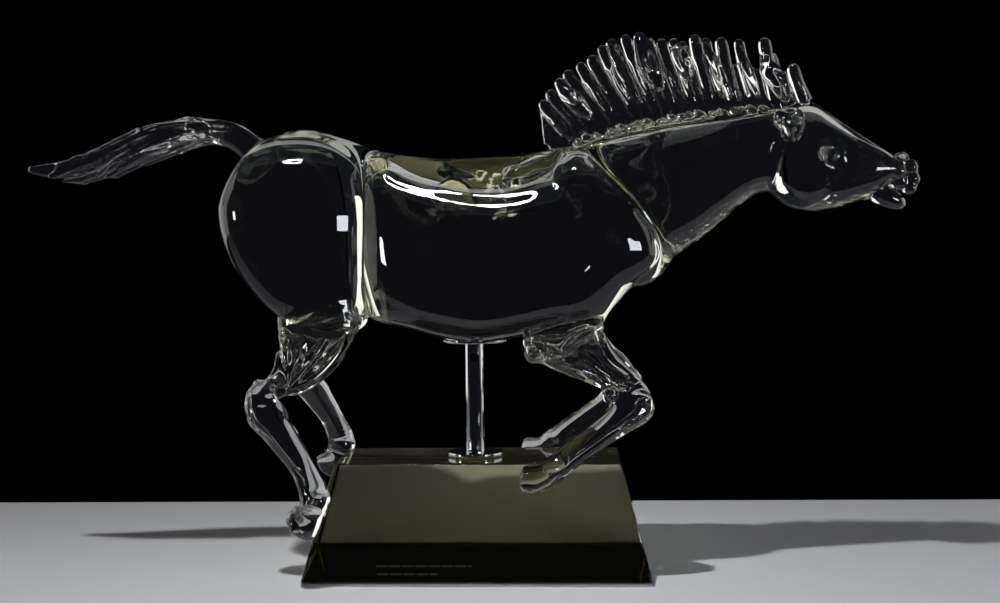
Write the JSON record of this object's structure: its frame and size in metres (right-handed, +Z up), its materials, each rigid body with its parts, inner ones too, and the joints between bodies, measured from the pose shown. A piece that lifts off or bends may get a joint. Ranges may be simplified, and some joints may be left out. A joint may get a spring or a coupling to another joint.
{
  "type": "glass horse sculpture on a block base",
  "caption": "Galloping horse sculpture of solid clear glass, held up by a chrome stem with discs on a dark tinted glass block with sloping sides.",
  "frame": {"origin": "the middle of the whole part seen from above, on the surface that the pads stand on", "axes": "+X to the horse's head, +Y to the horse's left side, +Z up"},
  "size_m": [0.7904, 0.202, 0.4742],
  "materials": {
    "clear_glass": "clear fire-polished glass",
    "tinted_glass": "polished dark olive glass",
    "chrome": "mirror chrome",
    "screw_steel": "plain steel",
    "pad": "soft translucent silicone"
  },
  "bodies": {
    "root": {"horse": "clear_glass", "upper_disc": "chrome", "stem": "chrome", "set_screw": "screw_steel", "lower_disc": "chrome", "block": "tinted_glass", "pad_1": "pad", "pad_2": "pad", "pad_3": "pad", "pad_4": "pad"}
  },
  "joints": []
}
